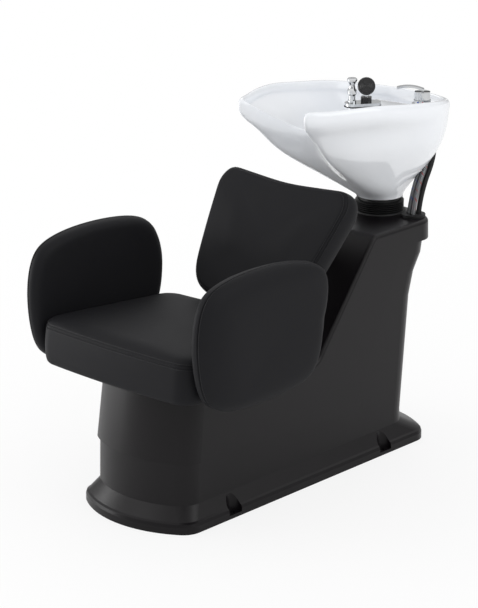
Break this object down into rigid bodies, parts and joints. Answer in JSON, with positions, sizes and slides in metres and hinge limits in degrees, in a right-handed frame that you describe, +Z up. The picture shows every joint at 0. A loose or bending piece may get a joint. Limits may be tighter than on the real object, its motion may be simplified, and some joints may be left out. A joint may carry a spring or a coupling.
{
  "type": "salon backwash unit",
  "caption": "Salon shampoo chair: upholstered seat with pillow armrests on a moulded pedestal that carries a tilting ceramic neck-notch bowl with taps behind the head.",
  "frame": {"origin": "on the floor at the centre of the four floor anchor holes", "axes": "+X to the sitter's left side seen from the front right of the picture, seat front toward -Y, bowl toward +Y, +Z up"},
  "size_m": [0.602, 1.1057, 0.9492],
  "materials": {
    "moulded_black": "satin",
    "black_steel": "satin",
    "zinc_steel": "zinc plated",
    "plywood": "plain",
    "vinyl": "fine grain, matte",
    "rubber": "matte",
    "ceramic": "gloss glaze",
    "chrome": "polished",
    "black_plastic": "gloss",
    "steel_braid": "braided"
  },
  "bodies": {
    "base": {"base_shell": "moulded_black", "column_shell": "moulded_black", "floor_frame": "black_steel", "rubber_feet": "rubber", "column_post": "black_steel", "top_plate": "black_steel", "tilt_fork": "black_steel", "trunnion_pins": "zinc_steel", "seat_post": "black_steel", "seat_plate": "black_steel", "seat_board": "plywood", "seat_cushion": "vinyl", "seat_bolts": "zinc_steel", "left_armrest": "vinyl", "right_armrest": "vinyl", "left_arm_bracket": "black_steel", "right_arm_bracket": "black_steel", "arm_bolts": "zinc_steel", "back_cushion": "vinyl", "back_board": "plywood", "back_bracket": "black_steel", "back_screws": "zinc_steel", "hose_grommet": "rubber"},
    "bowl": {"bowl": "ceramic", "bowl_seal": "rubber", "tilt_head": "black_steel", "drain_flange": "chrome", "gaiter": "rubber", "tap_gasket": "rubber", "tap_plate": "chrome", "vacuum_breaker": "chrome", "vacuum_breaker_cap": "chrome", "hose_guide": "black_plastic", "mixer_body": "chrome", "cold_hose": "steel_braid", "hot_hose": "steel_braid", "spray_hose": "rubber"},
    "mixer_turn": {"mixer_cap": "chrome", "lever_pin": "chrome"},
    "mixer_lever": {"mixer_lever": "chrome"},
    "spray": {"spray_neck": "chrome", "spray_head": "black_plastic"},
    "strainer": {"strainer": "chrome"}
  },
  "joints": [
    {"name": "bowl_tilt", "type": "hinge", "parent": "base", "child": "bowl", "pos_m": [0, 0.4445, 0.566], "axis": [1, 0, 0], "range_deg": [-8, 5], "deforming": ["gaiter", "cold_hose", "hot_hose", "spray_hose"]},
    {"name": "mixer_temperature", "type": "hinge", "parent": "bowl", "child": "mixer_turn", "pos_m": [0.148, 0.4195, 0.88], "axis": [0, 0, 1], "range_deg": [-45, 45]},
    {"name": "mixer_flow", "type": "hinge", "parent": "mixer_turn", "child": "mixer_lever", "pos_m": [0.148, 0.4195, 0.885], "axis": [-0.6157, 0.788, 0], "range_deg": [0, 15]},
    {"name": "spray_pull", "type": "slide", "parent": "bowl", "child": "spray", "axis": [0, 0, 1], "range_m": [0, 0.12]},
    {"name": "strainer_lift", "type": "slide", "parent": "bowl", "child": "strainer", "axis": [0, 0, 1], "range_m": [0, 0.05]}
  ]
}
